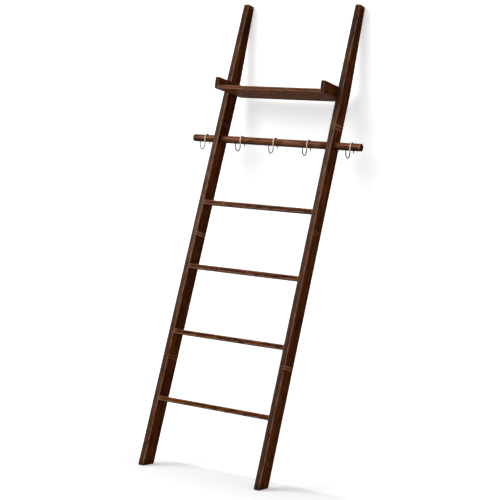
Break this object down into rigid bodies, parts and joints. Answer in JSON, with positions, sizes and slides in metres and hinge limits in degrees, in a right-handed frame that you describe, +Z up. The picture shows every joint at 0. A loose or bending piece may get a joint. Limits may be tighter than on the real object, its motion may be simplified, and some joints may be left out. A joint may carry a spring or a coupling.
{
  "type": "blanket ladder",
  "caption": "Leaning blanket ladder of stained bamboo: slim rungs, a hanging rod with S-hooks and a small shelf between the rails.",
  "frame": {"origin": "on the floor, under the middle of the overall box, with the ladder at its leaning rest", "axes": "+Z up, +Y to the wall it leans on, +X to the right of someone facing it"},
  "size_m": [0.7, 0.4292, 1.7587],
  "materials": {
    "stained_bamboo": "laminated bamboo, dark walnut stain, satin lacquer",
    "dowel_wood": "plain beech, unfinished, hidden",
    "hook_steel": "dark nickel wire",
    "screw_steel": "black zinc",
    "black_rubber": "matt black"
  },
  "bodies": {
    "frame": {"left_rail": "stained_bamboo", "right_rail": "stained_bamboo", "rung_1": "stained_bamboo", "rung_2": "stained_bamboo", "rung_3": "stained_bamboo", "rung_4": "stained_bamboo", "rung_dowels": "dowel_wood", "hanging_rod": "stained_bamboo", "rod_screws": "screw_steel", "left_shelf_cheek": "stained_bamboo", "right_shelf_cheek": "stained_bamboo", "shelf_board": "stained_bamboo", "shelf_dowels": "dowel_wood", "shelf_screws": "screw_steel", "left_foot_pad": "black_rubber", "right_foot_pad": "black_rubber", "left_wall_pad": "black_rubber", "right_wall_pad": "black_rubber"},
    "s_hook_1": {"hook_1": "hook_steel"},
    "s_hook_2": {"hook_2": "hook_steel"},
    "s_hook_3": {"hook_3": "hook_steel"},
    "s_hook_4": {"hook_4": "hook_steel"},
    "s_hook_5": {"hook_5": "hook_steel"}
  },
  "joints": [
    {"name": "hook_1_swing", "type": "hinge", "parent": "frame", "child": "s_hook_1", "pos_m": [-0.294, 0.08697, 1.21961], "axis": [1, 0, 0], "range_deg": [-60, 60]},
    {"name": "hook_2_swing", "type": "hinge", "parent": "frame", "child": "s_hook_2", "pos_m": [-0.14, 0.08697, 1.21961], "axis": [1, 0, 0], "range_deg": [-60, 60]},
    {"name": "hook_3_swing", "type": "hinge", "parent": "frame", "child": "s_hook_3", "pos_m": [0, 0.08697, 1.21961], "axis": [1, 0, 0], "range_deg": [-60, 60]},
    {"name": "hook_4_swing", "type": "hinge", "parent": "frame", "child": "s_hook_4", "pos_m": [0.138, 0.08697, 1.21961], "axis": [1, 0, 0], "range_deg": [-60, 60]},
    {"name": "hook_5_swing", "type": "hinge", "parent": "frame", "child": "s_hook_5", "pos_m": [0.31, 0.08697, 1.21961], "axis": [1, 0, 0], "range_deg": [-60, 60]}
  ]
}
